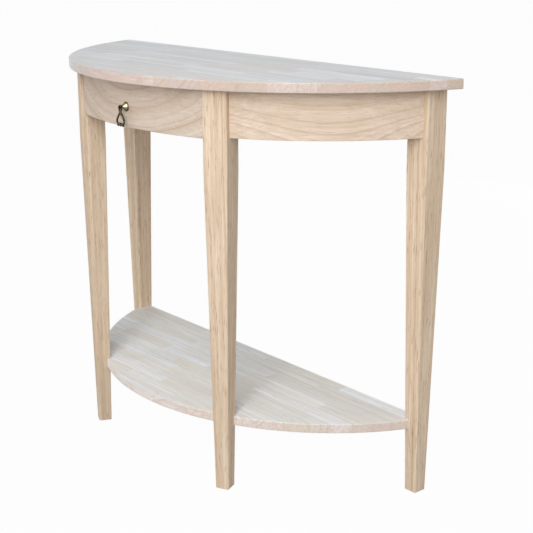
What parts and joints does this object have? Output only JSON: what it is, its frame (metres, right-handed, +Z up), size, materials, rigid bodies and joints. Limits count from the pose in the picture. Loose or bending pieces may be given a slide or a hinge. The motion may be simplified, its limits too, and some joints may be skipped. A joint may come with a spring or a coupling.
{
  "type": "demilune console table",
  "caption": "Half-moon console table in bare wood: square tapered legs, curved aprons, a bowed sliding drawer with a brass drop pull, and a low shelf.",
  "frame": {"origin": "on the floor under the middle of the top's box", "axes": "+X along the straight back edge, +Y towards the wall behind, +Z up; the drawer opens along -Y"},
  "size_m": [0.9964, 0.373, 0.762],
  "materials": {
    "top_wood": "sanded bare hardwood, edge-glued staves",
    "shelf_wood": "sanded bare hardwood, edge-glued staves",
    "leg_wood": "sanded bare hardwood, straight grain",
    "apron_wood": "sanded bare hardwood, sawn to a curve",
    "inner_wood": "planed bare hardwood",
    "dowel_wood": "turned dowel rod",
    "plywood": "thin plywood",
    "antique_brass": "antique patina with rubbed highlights",
    "steel": "zinc plated"
  },
  "bodies": {
    "carcass": {"apron_back": "apron_wood", "apron_dowels": "dowel_wood", "apron_side_left": "apron_wood", "apron_side_right": "apron_wood", "corner_block_back_left": "inner_wood", "corner_block_back_right": "inner_wood", "corner_block_front_left": "inner_wood", "corner_block_front_right": "inner_wood", "corner_block_screws": "steel", "drawer_kicker_left": "inner_wood", "drawer_kicker_right": "inner_wood", "drawer_runner_left": "inner_wood", "drawer_runner_right": "inner_wood", "front_rail_lower": "inner_wood", "front_rail_upper": "inner_wood", "leg_back_left": "leg_wood", "leg_back_right": "leg_wood", "leg_front_left": "leg_wood", "leg_front_right": "leg_wood", "rail_dowels": "dowel_wood", "runner_dowels": "dowel_wood", "shelf_dowels": "dowel_wood", "shelf_panel": "shelf_wood", "top_panel": "top_wood", "top_screws": "steel"},
    "drawer": {"drawer_back": "inner_wood", "drawer_bottom": "plywood", "drawer_dowels": "dowel_wood", "drawer_front": "apron_wood", "drawer_side_left": "inner_wood", "drawer_side_right": "inner_wood", "pull_base": "antique_brass", "pull_screw": "steel"},
    "drop": {"pull_drop": "antique_brass"}
  },
  "joints": [
    {"name": "drawer_slide", "type": "slide", "parent": "carcass", "child": "drawer", "axis": [0, -1, 0], "range_m": [0, 0.2]},
    {"name": "drop_swing", "type": "hinge", "parent": "drawer", "child": "drop", "pos_m": [0, -0.1687, 0.6961], "axis": [-1, 0, 0], "range_deg": [-12, 100]}
  ]
}
